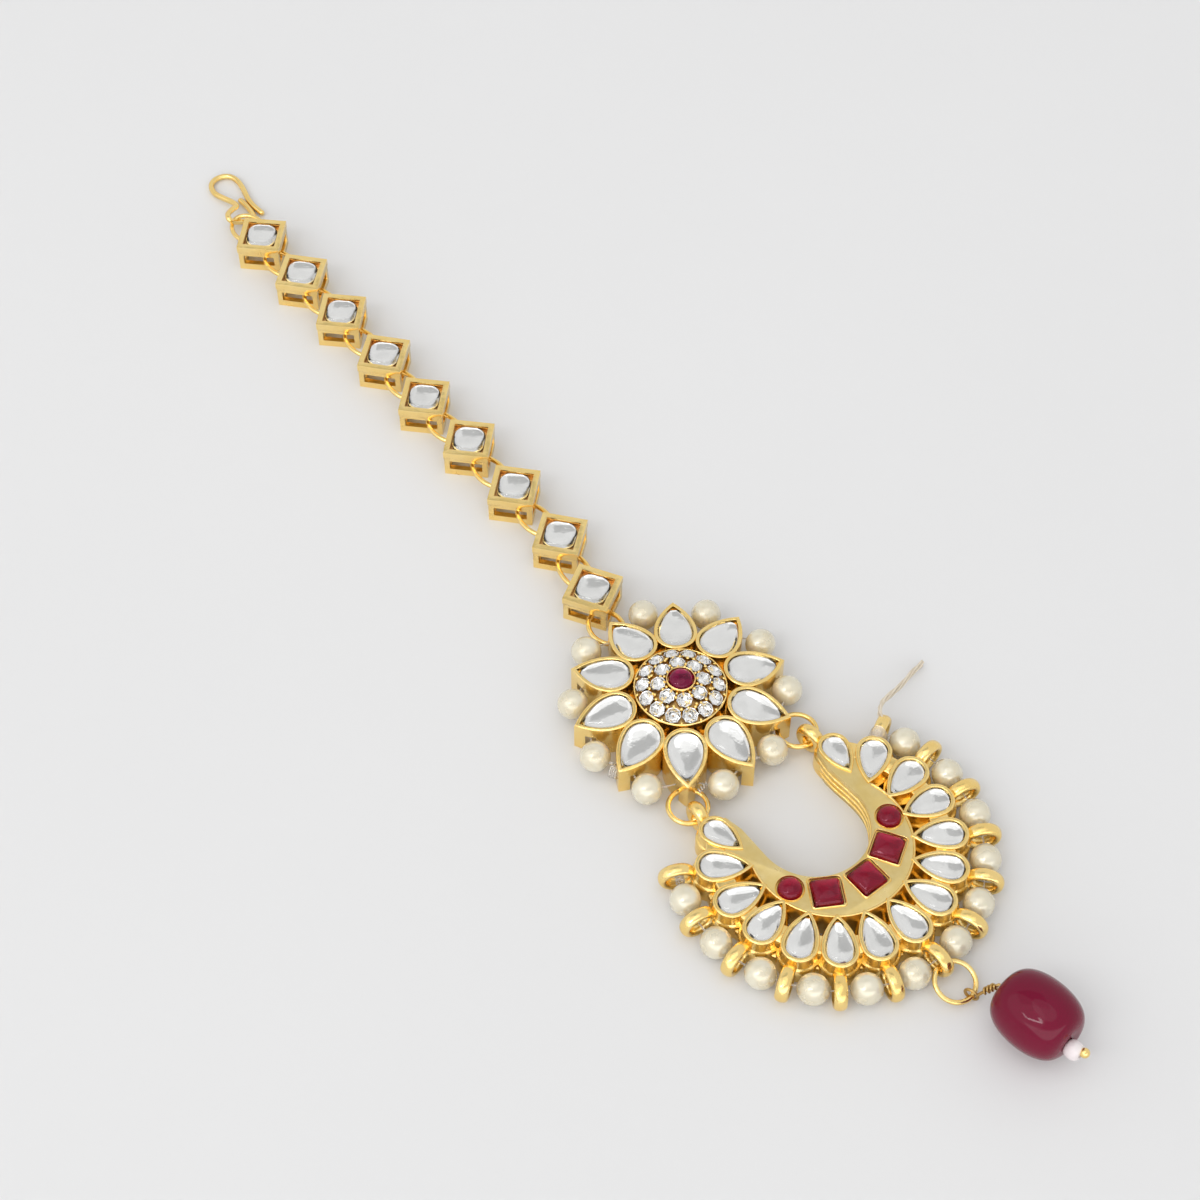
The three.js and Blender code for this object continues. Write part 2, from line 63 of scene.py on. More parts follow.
camera_data = bpy.data.cameras.new("camera")
camera_data.lens = LENS
camera_data.sensor_width = 36
camera_data.clip_start = 0.01
camera = bpy.data.objects.new("camera", camera_data)
bpy.context.collection.objects.link(camera)
camera.location = Vector(place(CAMERA_AT))
camera.rotation_euler = (CAMERA_TO - CAMERA_AT).to_track_quat("-Z", "Y").to_euler()
bpy.context.scene.camera = camera
bpy.context.scene.view_settings.view_transform = "Standard"
print("camera at", [round(v, 4) for v in camera.location])

# %% [markdown]
# Every piece is made of closed shells. A shell is a row of rings with the same number of
# points, joined by four-sided faces and closed by a fan at each end. Building shells from rings
# keeps the rounded edges of cast metal under control, where a bevel tool has to guess.


# %% Shells
def loft(rings, closed=False):
    """Closed shell over rings of points. A closed loft joins the last ring to the first."""
    count = len(rings[0])
    points = [np.asarray(r, float) for r in rings]
    faces = []
    turns = len(rings) if closed else len(rings) - 1
    for i in range(turns):
        a, b = i * count, ((i + 1) % len(rings)) * count
        for j in range(count):
            k = (j + 1) % count
            faces.append((a + j, a + k, b + k, b + j))
    if not closed:
        for ring, start in ((points[0], 0), (points[-1], (len(rings) - 1) * count)):
            middle = len(rings) * count + (0 if start == 0 else 1)
            for j in range(count):
                faces.append((start + j, start + (j + 1) % count, middle))
        points += [points[0].mean(0)[None], points[-1].mean(0)[None]]
    return np.vstack(points), faces


def merged(parts):
    verts, faces, start = [], [], 0
    for points, polygons in parts:
        verts.append(points)
        faces += [tuple(i + start for i in p) for p in polygons]
        start += len(points)
    return np.vstack(verts), faces


def plate(outline, low, high):
    """Straight block over any outline, closed by one flat face at each end."""
    n = len(outline)
    points = np.vstack([at_height(outline, low), at_height(outline, high)])
    sides = [(i, (i + 1) % n, n + (i + 1) % n, n + i) for i in range(n)]
    return points, sides + [tuple(range(n))[::-1], tuple(range(n, 2 * n))]


def at_height(outline, z):
    outline = np.asarray(outline, float)
    return np.c_[outline, np.full(len(outline), z)]


def turned(part, degrees, x=0.0, y=0.0, z=0.0):
    """The part turned about Z, then moved."""
    a = math.radians(degrees)
    spin = np.array([[math.cos(a), math.sin(a), 0], [-math.sin(a), math.cos(a), 0], [0, 0, 1]])
    return part[0] @ spin + np.array([x, y, z]), part[1]


def mesh_of(name, part, sharp=48.0):
    """Blender mesh of a part, with outward faces and soft shading up to the sharp angle."""
    mesh = bpy.data.meshes.new(name)
    mesh.from_pydata(place(part[0]).tolist(), [], part[1])
    shape = bmesh.new()
    shape.from_mesh(mesh)
    bmesh.ops.recalc_face_normals(shape, faces=shape.faces)
    for edge in shape.edges:
        edge.smooth = edge.calc_face_angle(0.0) < math.radians(sharp)
    for face in shape.faces:
        face.smooth = True
    shape.to_mesh(mesh)
    shape.free()
    return mesh


def piece(name, part, material, replaced=(), sharp=48.0):
    made = bpy.data.objects.new(name, mesh_of(name, part, sharp))
    bpy.context.collection.objects.link(made)
    made.data.materials.append(material)
    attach(made, "root")
    if replaced:
        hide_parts(*replaced)
    return made


print("helpers ready")

# %% [markdown]
# The outlines of this jewel are few: a drop, a rounded square and a circle. Each helper
# returns the same number of points for any size, so an outline and its grown copy can be lofted.


# %% Outlines
def drop_outline(radius, tip, sides=9, cap=18, blunt=0.0):
    """Drop with its round end about the origin and its point on +X."""
    bulge = tip * 0.52
    t = np.linspace(blunt, 1, sides + 1)
    x = (1 - t) ** 2 * tip + 2 * t * (1 - t) * bulge
    y = 2 * t * (1 - t) * radius + t ** 2 * radius
    a = np.linspace(math.pi / 2, 3 * math.pi / 2, cap + 1)[1:-1]
    first = 0 if blunt else 1
    lower = np.c_[x[first:][::-1], -y[first:][::-1]]
    return np.vstack([np.c_[x, y], np.c_[radius * np.cos(a), radius * np.sin(a)], lower])


def square_outline(half, corner, steps=5):
    points = []
    for quarter in range(4):
        q = math.radians(90 * quarter + 45)
        for step in range(steps + 1):
            a = math.radians(90 * quarter + 90 * step / steps)
            reach = (half - corner) * math.sqrt(2)
            points.append((reach * math.cos(q) + corner * math.cos(a),
                           reach * math.sin(q) + corner * math.sin(a)))
    return np.array(points)


def circle_outline(radius, sides=32):
    a = np.linspace(0, 2 * math.pi, sides, endpoint=False)
    return np.c_[radius * np.cos(a), radius * np.sin(a)]


def scaled(outline, share):
    middle = outline.mean(0)
    return middle + (outline - middle) * share


def dome(outline, low, wall, rise, rows=8, flat=0.0, rounder=0.0, lens=0.0):
    """Domed stone: an upright wall, then a dome that keeps a share of flat and grows rounder.

    A lens angle starts the dome that far round its curve, for a less upright edge.
    """
    start = math.radians(lens)
    rings = [at_height(outline, low), at_height(outline, low + wall)]
    middle = outline.mean(0)
    spokes = outline - middle
    reach = np.linalg.norm(spokes, axis=1)[:, None]
    even = spokes / reach * reach.min()
    for i in range(1, rows + 1):
        a = start + (math.pi / 2 - start) * i / (rows + 0.35)
        share = flat + (1 - flat) * math.cos(a) / math.cos(start)
        up = (math.sin(a) - math.sin(start)) / (1 - math.sin(start))
        blend = rounder * min(1.0, 1.6 * i / rows)
        ring = middle + (spokes * (1 - blend) + even * blend) * share
        rings.append(at_height(ring, low + wall + rise * up))
    return loft(rings)


def foil_cup(outline, low, high):
    """Foil just inside a stone's underside, turned up round its wall."""
    rings = [(0.985, 0.02), (0.985, high), (0.968, high), (0.968, 0.05)]
    return loft([at_height(scaled(outline, share), low + z) for share, z in rings])


def tube(points, radius, sides=12, closed=False, squash=1.0):
    """Round wire along points, with rounded ends when it is open."""
    row = np.asarray(points, float)
    n = len(row)
    if closed:
        ways = np.roll(row, -1, 0) - np.roll(row, 1, 0)
    else:
        ways = np.gradient(row, axis=0)
    ways /= np.linalg.norm(ways, axis=1)[:, None]
    side = np.cross(ways[0], [0.1, 0.2, 1.0])
    side /= np.linalg.norm(side)
    rings = []
    a = np.linspace(0, 2 * math.pi, sides, endpoint=False)
    radii = np.broadcast_to(np.asarray(radius, float), (n,))
    for i in range(n):
        side = side - ways[i] * (side @ ways[i])
        side /= np.linalg.norm(side)
        up = np.cross(ways[i], side)
        ring = side * np.cos(a)[:, None] + up * np.sin(a)[:, None] * squash
        rings.append((i, ring))
    out = [row[i] + ring * radii[i] for i, ring in rings]
    if not closed:
        for i, sign in ((0, -1), (n - 1, 1)):
            ring = rings[i][1]
            caps = [row[i] + ways[i] * sign * radii[i] * s + ring * radii[i] * c
                    for s, c in ((0.5, 0.86), (0.86, 0.5), (0.98, 0.15))]
            out = caps[::-1] + out if sign < 0 else out + caps
    return loft(out, closed=closed)


def smooth_line(points, steps, closed=False):
    """Points on a smooth curve through the given ones (Catmull-Rom)."""
    p = np.asarray(points, float)
    n = len(p)
    out = []
    last = n if closed else n - 1
    for i in range(last):
        a, b, c, d = [p[(i + k) % n] if closed else p[min(max(i + k, 0), n - 1)] for k in (-1, 0, 1, 2)]
        for t in np.linspace(0, 1, steps, endpoint=False):
            out.append(0.5 * (2 * b + (c - a) * t + (2 * a - 5 * b + 4 * c - d) * t ** 2
                              + (3 * b - a - 3 * c + d) * t ** 3))
    if not closed:
        out.append(p[-1])
    return np.array(out)


def oval_wire(half_width, half_length, wire, segments=48, sides=12):
    a = np.linspace(0, 2 * math.pi, segments, endpoint=False)
    row = np.c_[half_width * np.cos(a), half_length * np.sin(a), np.zeros(segments)]
    return tube(row, wire, sides, closed=True)


def ball(radius, across=24, rows=12):
    rings = []
    for i in range(1, rows):
        a = -math.pi / 2 + math.pi * i / rows
        rings.append(at_height(circle_outline(radius * math.cos(a), across), radius * math.sin(a)))
    points, faces = loft(rings)
    points[-2:] = [[0, 0, -radius], [0, 0, radius]]
    return points, faces


def moved(part, x, y, z):
    return part[0] + np.array([x, y, z]), part[1]


def boxed(width, length, low, high):
    return loft([at_height(square_outline_sharp(width / 2, length / 2), z) for z in (low, high)])


def square_outline_sharp(x, y):
    return np.array([(x, y), (-x, y), (-x, -y), (x, -y)])


print("outlines ready")

# %% [markdown]
# Cast metal is cut through with windows and slots. A boolean takes the cutters away from a
# plain solid, and a bevel then rounds every hard edge by about a tenth of a millimetre, which
# is what polishing does to the real casting.


# %% Cut and rounded solids
def cut(part, cutters, edge=0.1, segments=3, angle=35.0):
    """The part with the cutters taken away and its hard edges rounded, in millimetres."""
    def temporary(name, source):
        mesh = bpy.data.meshes.new(name)
        mesh.from_pydata(source[0].tolist(), [], source[1])
        shape = bmesh.new()
        shape.from_mesh(mesh)
        bmesh.ops.recalc_face_normals(shape, faces=shape.faces)
        bmesh.ops.dissolve_limit(shape, angle_limit=math.radians(0.5), verts=shape.verts, edges=shape.edges)
        shape.to_mesh(mesh)
        shape.free()
        made = bpy.data.objects.new(name, mesh)
        bpy.context.collection.objects.link(made)
        return made

    solid = temporary("solid", part)
    tools = [temporary("cutter", c) for c in cutters]
    for tool in tools:
        step = solid.modifiers.new("cut", "BOOLEAN")
        step.operation = "DIFFERENCE"
        step.object = tool
        step.solver = "EXACT"
    if edge:
        bevel = solid.modifiers.new("round", "BEVEL")
        bevel.width = edge
        bevel.segments = segments
        bevel.limit_method = "ANGLE"
        bevel.angle_limit = math.radians(angle)
        bevel.use_clamp_overlap = True
    shown = solid.evaluated_get(bpy.context.evaluated_depsgraph_get()).to_mesh()
    points = np.array([v.co[:] for v in shown.vertices])
    faces = [tuple(p.vertices) for p in shown.polygons]
    for thing in [solid] + tools:
        bpy.data.objects.remove(thing, do_unlink=True)
    return points, faces


print("cutting ready")

# %% [markdown]
# Two effects are shared. The cast surface is never quite even: low waves from the mould and a
# fine grain from polishing. The second effect is a slow blotch, used where plating, pearl skin
# or glass changes its tone a little from place to place.


# %% Shared node groups
def socket(group, name, kind, way, value=None):
    made = group.interface.new_socket(name, in_out=way, socket_type=kind)
    if value is not None:
        made.default_value = value
    return made


def cast_group():
    group = bpy.data.node_groups.new("cast_surface", "ShaderNodeTree")
    socket(group, "Wave Scale", "NodeSocketFloat", "INPUT", 700.0)
    socket(group, "Grain Scale", "NodeSocketFloat", "INPUT", 5000.0)
    socket(group, "Grain Share", "NodeSocketFloat", "INPUT", 0.12)
    socket(group, "Height", "NodeSocketFloat", "OUTPUT")
    socket(group, "Blotch", "NodeSocketFloat", "OUTPUT")
    n, link = group.nodes, group.links.new
    inside, outside = n.new("NodeGroupInput"), n.new("NodeGroupOutput")
    place_in = n.new("ShaderNodeTexCoord")
    waves, grain, blotch = [n.new("ShaderNodeTexNoise") for _ in range(3)]
    waves.inputs["Detail"].default_value = 2.0
    grain.inputs["Detail"].default_value = 3.0
    blotch.inputs["Detail"].default_value = 4.0
    for node in (waves, grain, blotch):
        link(place_in.outputs["Object"], node.inputs["Vector"])
    half = n.new("ShaderNodeMath")
    half.operation = "MULTIPLY"
    half.inputs[1].default_value = 0.55
    link(inside.outputs["Wave Scale"], waves.inputs["Scale"])
    link(inside.outputs["Wave Scale"], half.inputs[0])
    link(half.outputs[0], blotch.inputs["Scale"])
    link(inside.outputs["Grain Scale"], grain.inputs["Scale"])
    both = n.new("ShaderNodeMix")
    both.data_type = "FLOAT"
    link(inside.outputs["Grain Share"], both.inputs["Factor"])
    link(waves.outputs["Fac"], both.inputs["A"])
    link(grain.outputs["Fac"], both.inputs["B"])
    link(both.outputs["Result"], outside.inputs["Height"])
    link(blotch.outputs["Fac"], outside.inputs["Blotch"])
    return group


CAST = cast_group()


def finish(name, base, other, roughness, wave=700.0, grain=5000.0, share=0.12,
           bump=0.25, depth=0.1, **plain):
    """Material whose colour runs between two tones, with uneven roughness and relief."""
    material = bpy.data.materials.new(name)
    material.use_nodes = True
    n, link = material.node_tree.nodes, material.node_tree.links.new
    shader = n["Principled BSDF"]
    surface = n.new("ShaderNodeGroup")
    surface.node_tree = CAST
    surface.inputs["Wave Scale"].default_value = wave
    surface.inputs["Grain Scale"].default_value = grain
    surface.inputs["Grain Share"].default_value = share
    tone = n.new("ShaderNodeMapRange")
    tone.inputs["From Min"].default_value = 0.36
    tone.inputs["From Max"].default_value = 0.64
    link(surface.outputs["Blotch"], tone.inputs["Value"])
    colour = n.new("ShaderNodeMix")
    colour.data_type = "RGBA"
    colour.inputs["A"].default_value = (*base, 1)
    colour.inputs["B"].default_value = (*other, 1)
    link(tone.outputs["Result"], colour.inputs["Factor"])
    link(colour.outputs["Result"], shader.inputs["Base Color"])
    rough = n.new("ShaderNodeMapRange")
    rough.inputs["From Min"].default_value = 0.3
    rough.inputs["From Max"].default_value = 0.7
    rough.inputs["To Min"].default_value = roughness[0]
    rough.inputs["To Max"].default_value = roughness[1]
    link(surface.outputs["Blotch"], rough.inputs["Value"])
    link(rough.outputs["Result"], shader.inputs["Roughness"])
    relief = n.new("ShaderNodeBump")
    relief.inputs["Strength"].default_value = bump
    relief.inputs["Distance"].default_value = depth * MM
    link(surface.outputs["Height"], relief.inputs["Height"])
    link(relief.outputs["Normal"], shader.inputs["Normal"])
    for key, value in plain.items():
        shader.inputs[key.replace("_", " ")].default_value = value
    return material


GOLD = finish("gold_plate", (1.0, 0.75, 0.31), (0.97, 0.69, 0.24), (0.13, 0.28),
              bump=0.9, depth=0.14, Metallic=1.0)
LINK_GOLD = finish("cast_gold", (1.0, 0.765, 0.325), (0.98, 0.71, 0.26), (0.17, 0.29), wave=700.0,
                   bump=0.7, depth=0.14, Metallic=1.0)
# Darker brown-orange gold for the inside walls of the link recesses: painted shade, standing in for the
# shade that falls inside each recess.
PAINTED_SHADE_LINING = finish("painted_shade_recess_gold", (0.70, 0.42, 0.16), (0.56, 0.31, 0.11), (0.25, 0.4), wave=1200.0,
                bump=0.5, depth=0.1, Metallic=1.0)
BAND_GOLD = finish("satin_gold", (0.86, 0.68, 0.31), (0.79, 0.60, 0.23), (0.26, 0.40), wave=900.0,
                   grain=9000.0, share=0.35, bump=0.8, depth=0.09, Metallic=1.0)
WIRE_GOLD = finish("gold_wire", (1.0, 0.74, 0.29), (0.97, 0.68, 0.23), (0.12, 0.22), wave=500.0,
                   bump=0.4, depth=0.06, Metallic=1.0)
DARK_GOLD = finish("dark_gold", (0.55, 0.34, 0.12), (0.32, 0.18, 0.06), (0.25, 0.45), wave=1500.0,
                   bump=0.6, depth=0.1, Metallic=1.0)
BRONZE = finish("bronze_wire", (0.60, 0.40, 0.15), (0.48, 0.30, 0.10), (0.3, 0.45), Metallic=1.0)
FOIL = finish("foil", (0.93, 0.93, 0.92), (0.87, 0.87, 0.86), (0.05, 0.12), wave=900.0,
              bump=0.25, depth=0.1, Metallic=1.0)
STONE = finish("clear_glass", (1.0, 1.0, 0.995), (0.97, 0.97, 0.96), (0.0, 0.02), wave=300.0,
               bump=0.05, depth=0.1, Transmission_Weight=1.0, IOR=1.49)
CRYSTAL = finish("crystal_glass", (0.98, 0.98, 0.98), (0.93, 0.93, 0.93), (0.0, 0.01), wave=300.0,
                 bump=0.0, depth=0.1, Transmission_Weight=1.0, IOR=1.55)
RUBY = finish("ruby_glass", (0.29, 0.006, 0.09), (0.24, 0.004, 0.07), (0.0, 0.02), wave=300.0,
              bump=0.05, depth=0.1, Transmission_Weight=1.0, IOR=1.52,
              Specular_Tint=(0.95, 0.5, 0.62, 1.0))
RUBY_FOIL = finish("ruby_foil", (0.88, 0.42, 0.62), (0.70, 0.28, 0.46), (0.03, 0.07), wave=600.0,
                   bump=0.15, depth=0.1, Metallic=1.0)
PEARL = finish("pearl_skin", (0.74, 0.70, 0.57), (0.68, 0.62, 0.47), (0.20, 0.30), wave=900.0,
               grain=2600.0, share=0.35, bump=0.35, depth=0.08, Metallic=0.28, Coat_Weight=0.6,
               Coat_Roughness=0.08, Subsurface_Weight=0.5, Subsurface_Scale=0.002,
               Subsurface_Radius=(1.0, 0.92, 0.75))
SEED = finish("seed_pearl", (0.80, 0.74, 0.74), (0.74, 0.66, 0.67), (0.15, 0.25), wave=900.0,
              bump=0.2, depth=0.05, Coat_Weight=0.5, Coat_Roughness=0.06)
WINE = finish("wine_glass", (0.160, 0.002, 0.024), (0.142, 0.002, 0.019), (0.05, 0.08), wave=200.0,
              bump=0.05, depth=0.2, Specular_IOR_Level=0.26)
NYLON = finish("nylon_thread", (0.98, 0.96, 0.93), (0.93, 0.90, 0.86), (0.08, 0.18), wave=1500.0,
               Transmission_Weight=0.7, IOR=1.45)
COTTON = finish("frayed_thread", (0.74, 0.66, 0.54), (0.66, 0.58, 0.46), (0.6, 0.8), wave=2500.0)
print("materials:", len(bpy.data.materials))

# %% [markdown]
# The hook is one length of hard wire bent on a jig: a wide loop, a narrow neck and a small eye
# that holds the first jump ring. A tube along a smooth curve keeps its thickness in every bend.

# %% Hook
HOOK_LINE = [
    (8.01, 94.82, 0.4), (7.91, 96.43, 0.38), (8.05, 97.99, 0.38), (8.41, 99.35, 0.38),
    (8.74, 100.65, 0.38), (8.87, 102.08, 0.38), (8.52, 103.19, 0.38), (7.65, 103.82, 0.38),
    (6.50, 103.84, 0.38), (5.59, 103.15, 0.4), (5.19, 101.72, 0.45), (5.45, 100.12, 0.65),
    (5.84, 98.5, 0.9), (5.74, 97.2, 1.2), (4.64, 96.52, 1.65), (3.52, 95.66, 2.15),
    (3.18, 94.72, 2.15), (3.93, 94.7, 1.3), (4.88, 94.94, 0.6), (5.82, 94.6, 0.38),
    (6.55, 94.61, 0.38), (6.9, 95.18, 0.38), (7.09, 96.4, 0.38), (7.16, 97.59, 0.38),
    (7.11, 98.46, 0.38),
]
HOOK_WIRE = 0.37
hook = piece("hook_wire", tube(smooth_line(HOOK_LINE, 6), HOOK_WIRE), WIRE_GOLD, ["hook"])


def tilted(part, about_x=0.0, about_y=0.0):
    a, b = math.radians(about_x), math.radians(about_y)
    spin_x = np.array([[1, 0, 0], [0, math.cos(a), math.sin(a)], [0, -math.sin(a), math.cos(a)]])
    spin_y = np.array([[math.cos(b), 0, -math.sin(b)], [0, 1, 0], [math.sin(b), 0, math.cos(b)]])
    return part[0] @ spin_y @ spin_x, part[1]


RING_WIRE = 0.29
hook_ring = tilted(oval_wire(1.9, 2.72, RING_WIRE), -3, -7)
piece("hook_ring_wire", moved(hook_ring, 4.5, 92.5, 1.42), WIRE_GOLD, ["hook_ring"])
print("hook points:", len(hook.data.vertices))

# %% [markdown]
# Each link is a small cast box, open at the top for its stone and cut through on all four sides
# for the jump rings. The same solid serves all nine: boxes cut by boxes, then rounded.

# %% Box links
LINK_HALF = 5.37 / 2
LINK_HEIGHT = 3.84
LINK_FLOOR = 3.2
LINK_INSIDE = LINK_HALF - 0.72
LINK_RIM = LINK_HALF - 0.66
WINDOW_HALF = 3.95 / 2
WINDOW = (0.95, 2.32)
WAIST = 0.07
LINKS = [
    (4.08, 88.41, -45.3), (4.27, 79.71, -49.1), (4.28, 70.97, -45.5), (4.23, 61.82, -49.7),
    (3.92, 53.02, -46.7), (4.07, 44.17, -46.5), (3.85, 35.05, -48.4), (3.55, 25.91, -51.5),
    (1.59, 17.43, -59.7),
]
block = loft([at_height(square_outline_sharp(h, h), z) for h, z in (
    (LINK_HALF - WAIST, 0), (LINK_HALF - WAIST, 2.72), (LINK_HALF, 2.84), (LINK_HALF, LINK_HEIGHT))])
link_box = cut(
    block,
    [boxed(2 * LINK_INSIDE, 2 * LINK_INSIDE, -1, WINDOW[1]),
     boxed(2 * LINK_RIM, 2 * LINK_RIM, LINK_FLOOR, 9),
     boxed(9, 2 * WINDOW_HALF, *WINDOW), boxed(2 * WINDOW_HALF, 9, *WINDOW)],
    edge=0.26, segments=4)
LINK_STONE_HALF = 1.88
stone_outline = square_outline(LINK_STONE_HALF, 1.2, 8)
link_stone = dome(stone_outline, LINK_FLOOR + 0.1, 0.2, 0.72, rows=12, flat=0.1, rounder=0.7)
link_foil = foil_cup(stone_outline, LINK_FLOOR + 0.1, 0.17)
# A thin sheet of that darker gold lines the recess walls above each stone: painted shade inside the link.
link_painted_shade_lining = loft([at_height(square_outline_sharp(h, h), z) for h, z in (
    (LINK_RIM - 0.01, LINK_FLOOR + 0.01), (LINK_RIM - 0.01, 3.62), (LINK_RIM - 0.06, 3.62),
    (LINK_RIM - 0.06, LINK_FLOOR + 0.04))])
for i, (x, y, turn) in enumerate(LINKS, start=1):
    piece(f"link_{i}_cast", turned(link_box, turn, x, y), LINK_GOLD, [f"link_{i}"])
    piece(f"link_{i}_glass", turned(link_stone, turn, x, y), STONE, [f"link_stone_{i}"])
piece("link_foils", merged([turned(link_foil, turn, x, y) for x, y, turn in LINKS]), FOIL)
piece("link_painted_shade_linings", merged([turned(link_painted_shade_lining, turn, x, y) for x, y, turn in LINKS]), PAINTED_SHADE_LINING)
for i in range(8):
    (ax, ay, _), (bx, by, _) = LINKS[i], LINKS[i + 1]
    turn = math.degrees(math.atan2(ax - bx, by - ay)) + 180
    oval = tilted(oval_wire(1.72, 2.8, RING_WIRE), 0, 7.5)
    wire = turned(oval, turn, (ax + bx) / 2, (ay + by) / 2 + 0.3, 1.57)
    piece(f"link_ring_{i + 1}_wire", wire, WIRE_GOLD, [f"link_ring_{i + 1}"])
print("link faces:", len(link_box[1]))

# %% [markdown]
# A petal is a deep drop-shaped cup. Its rim is a rounded band about half a millimetre wide, and
# near its tip a slot runs through the wall for the thread and the jump rings. The cup is lofted
# for its rounded rim, and the slot is cut through it.

# %% Flower petals
PETALS = 10
PETAL_AT = 7.75
PETAL_STONE = 1.98
PETAL_RIM = 3.93
PETAL_FLOOR = 3.0
PETAL_BEZEL = 0.47
PETAL_TIP = 12.5 - PETAL_AT
PETAL_SLOPE = 0.14
OPENING_TIP = 11.85 - PETAL_AT


def bezel(outline, rim, floor, bottom=0.0, round_out=0.2, round_in=0.14, foot=None):
    """Drop-shaped cup: outline(0) is the outer edge, outline(1) the opening's edge."""
    rings = []
    outer, inner = outline(0), outline(1)
    width = 1.0
    if foot:
        wider, step = foot
        rings += [at_height(wider, bottom), at_height(wider, step - 0.25)]
        rings.append(at_height(wider * 0.75 + outer * 0.25, step - 0.07))
        rings.append(at_height(wider * 0.35 + outer * 0.65, step + 0.02))
        rings.append(at_height(outer, step + 0.16))
    else:
        rings.append(at_height(outer, bottom))
    for i in range(5):
        a = math.pi / 2 * i / 4
        share = round_out * (1 - math.cos(a)) / PETAL_BEZEL
        height = rim - round_out + round_out * math.sin(a)
        rings.append(at_height(outer + (inner - outer) * share * width, height))
    for i in range(4):
        a = math.pi / 2 * i / 3
        share = 1 - round_in * (1 - math.sin(a)) / PETAL_BEZEL
        rings.append(at_height(outer + (inner - outer) * share, rim - round_in + round_in * math.cos(a)))
    rings.append(at_height(inner, floor))
    return loft(rings)


def petal_outline(share):
    radius = PETAL_STONE + PETAL_BEZEL * (1 - share)
    tip = PETAL_TIP + (OPENING_TIP - PETAL_TIP) * share
    return drop_outline(radius, tip, sides=12, cap=24)


def sloped(part):
    """The petal's upper side rises towards the dome."""
    points = part[0].copy()
    points[:, 2] += np.where(points[:, 2] > 2.8, PETAL_SLOPE * (PETAL_TIP - points[:, 0]), 0)
    return points, part[1]


petal_cup = bezel(petal_outline, PETAL_RIM, PETAL_FLOOR)
slot_box = boxed(1.0, 6, -1, 2.62)
petal_cup = sloped(cut(petal_cup, [moved(slot_box, (10.55 + 11.55) / 2 - PETAL_AT, 0, 0)], edge=0.0))
petal_glass_outline = drop_outline(PETAL_STONE - 0.05, OPENING_TIP - 0.14, sides=12, cap=24, blunt=0.08)
petal_glass = sloped(dome(petal_glass_outline, PETAL_FLOOR + 0.1, 0.45, 0.85, rows=12, flat=0.1))
petal_foil = sloped(foil_cup(petal_glass_outline, PETAL_FLOOR + 0.1, 0.3))


def round_flower(part, i):
    turn = 90 - 36 * i
    a = math.radians(turn)
    return turned(part, turn, PETAL_AT * math.cos(a), PETAL_AT * math.sin(a))


for i in range(PETALS):
    piece(f"petal_{i + 1}_glass", round_flower(petal_glass, i), STONE,
          [f"petal_stone_{i + 1}"])
piece("petal_foils", merged([round_flower(petal_foil, i) for i in range(PETALS)]), FOIL)
print("petal cup faces:", len(petal_cup[1]))

# %% [markdown]
# The middle of the flower is a low dome inside a thin wall. Twenty-two small brilliants sit on
# it, fourteen round eight, with beads of gold pressed up between them to hold them. A lathe
# makes the dome, and each bead and brilliant is set on it from its distance and angle.

# %% Flower dome


def lathe(profile, sides=64):
    """Closed solid from (distance, height) pairs that go from the bottom up."""
    return loft([at_height(circle_outline(max(r, 1e-3), sides), z) for r, z in profile])


def brilliant(radius, crown, table=0.56, pavilion=0.24):
    """Small round-cut stone: a table, stars, kites, a girdle and a shallow back."""
    k = np.arange(8) * math.pi / 4
    top = np.c_[radius * table * np.cos(k), radius * table * np.sin(k), np.full(8, crown)]
    m = k + math.pi / 8
    middle = np.c_[radius * 0.84 * np.cos(m), radius * 0.84 * np.sin(m), np.full(8, crown * 0.56)]
    edge = np.c_[radius * np.cos(k), radius * np.sin(k), np.zeros(8)]
    low = np.array([[0, 0, -pavilion]])
    faces = [tuple(range(8))]
    for i in range(8):
        j, before = (i + 1) % 8, (i - 1) % 8
        faces += [(i, j, 8 + i), (i, 8 + before, 16 + i, 8 + i),
                  (8 + i, 16 + i, 16 + j), (16 + i, 16 + j, 24)]
    return np.vstack([top, middle, edge, low]), faces


def leaning(part, lean, distance, height, turn):
    """The part leant outwards, then set at a distance and turned round the flower's axis."""
    points = part[0] @ np.array([[math.cos(lean), 0, -math.sin(lean)], [0, 1, 0],
                                 [math.sin(lean), 0, math.cos(lean)]])
    return turned((points + np.array([distance, 0, height]), part[1]), turn)


def prong(size):
    """Short post with a rounded head, its head's middle at the origin."""
    steps = ((1.5, -0.8), (1.15, -0.2), (1.0, 0.02), (0.85, 0.12), (0.5, 0.19), (0.15, 0.21))
    return loft([at_height(circle_outline(size * s, 12), z * size / 0.2) for s, z in steps])


